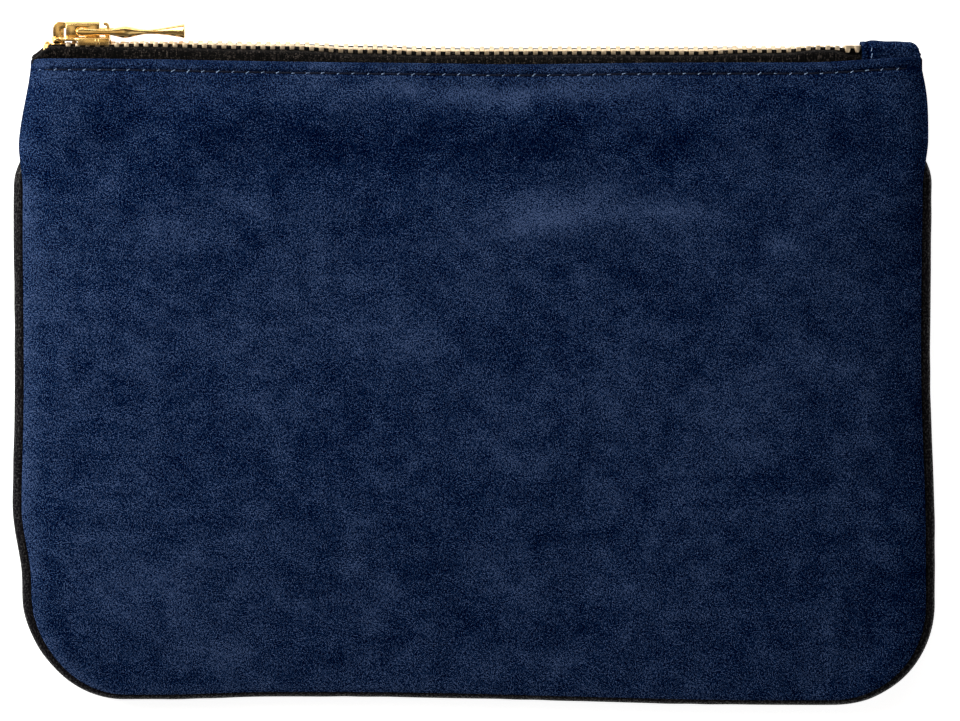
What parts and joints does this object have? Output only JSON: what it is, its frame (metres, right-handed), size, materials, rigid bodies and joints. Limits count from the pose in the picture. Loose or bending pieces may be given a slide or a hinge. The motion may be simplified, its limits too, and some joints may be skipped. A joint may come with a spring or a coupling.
{
  "type": "zippered pouch",
  "caption": "Flat suede zip pouch with piped side and bottom seams, lined inside, with a metal tooth zip and sculpted puller along the mouth.",
  "frame": {"origin": "middle of the pouch's outline, on the surface that its back lies on", "axes": "+X along the zip from its closed end to its open end, +Y from the bottom seam to the mouth, +Z out of the front panel"},
  "size_m": [0.2388, 0.1769, 0.0149],
  "materials": {
    "suede": "napped",
    "piping_leather": "fine grain, satin",
    "piping_filler": "twisted cotton",
    "lining": "fine twill",
    "zip_tape": "woven",
    "zip_metal": "polished",
    "spring_steel": "plain",
    "thread": "twisted polyester"
  },
  "bodies": {
    "root": {"back_panel": "suede", "back_lining": "lining", "piping_cover": "piping_leather", "piping_cord": "piping_filler", "seam_thread": "thread", "back_tape": "zip_tape", "back_bead": "zip_tape", "back_teeth": "zip_metal", "back_top_stop": "zip_metal", "bottom_stop": "zip_metal", "end_tab": "suede", "back_topstitch": "thread", "tab_stitch": "thread"},
    "front_mouth": {"front_panel": "suede", "front_lining": "lining", "front_tape": "zip_tape", "front_bead": "zip_tape", "front_teeth": "zip_metal", "front_top_stop": "zip_metal", "front_topstitch": "thread"},
    "slider": {"slider_body": "zip_metal", "slider_cap": "zip_metal"},
    "lock_pin": {"lock_pin": "spring_steel"},
    "puller": {"puller": "zip_metal"}
  },
  "joints": [
    {"name": "zip_slide", "type": "slide", "parent": "root", "child": "slider", "axis": [1, -0.0059, 0], "range_m": [0, 0.188], "deforming": ["back_teeth", "back_tape", "back_bead"]},
    {"name": "mouth_open", "type": "hinge", "parent": "root", "child": "front_mouth", "pos_m": [0, -0.0864, 0.0066], "axis": [1, 0, 0], "range_deg": [0, 10], "deforming": ["front_teeth", "front_tape", "front_bead"]},
    {"name": "puller_swing", "type": "hinge", "parent": "slider", "child": "puller", "pos_m": [-0.10188, 0.08572, 0.00714], "axis": [-0.0008, -0.1392, 0.9903], "range_deg": [0, 170]},
    {"name": "lock_lift", "type": "slide", "parent": "slider", "child": "lock_pin", "axis": [0.0058, 0.9903, 0.1392], "range_m": [0, 0.0005]}
  ],
  "couplings": [
    {"joint": "mouth_open", "follows": "zip_slide", "rad_per_m": 0.928},
    {"joint": "lock_lift", "follows": "puller_swing", "m_per_rad": 0.000168}
  ]
}
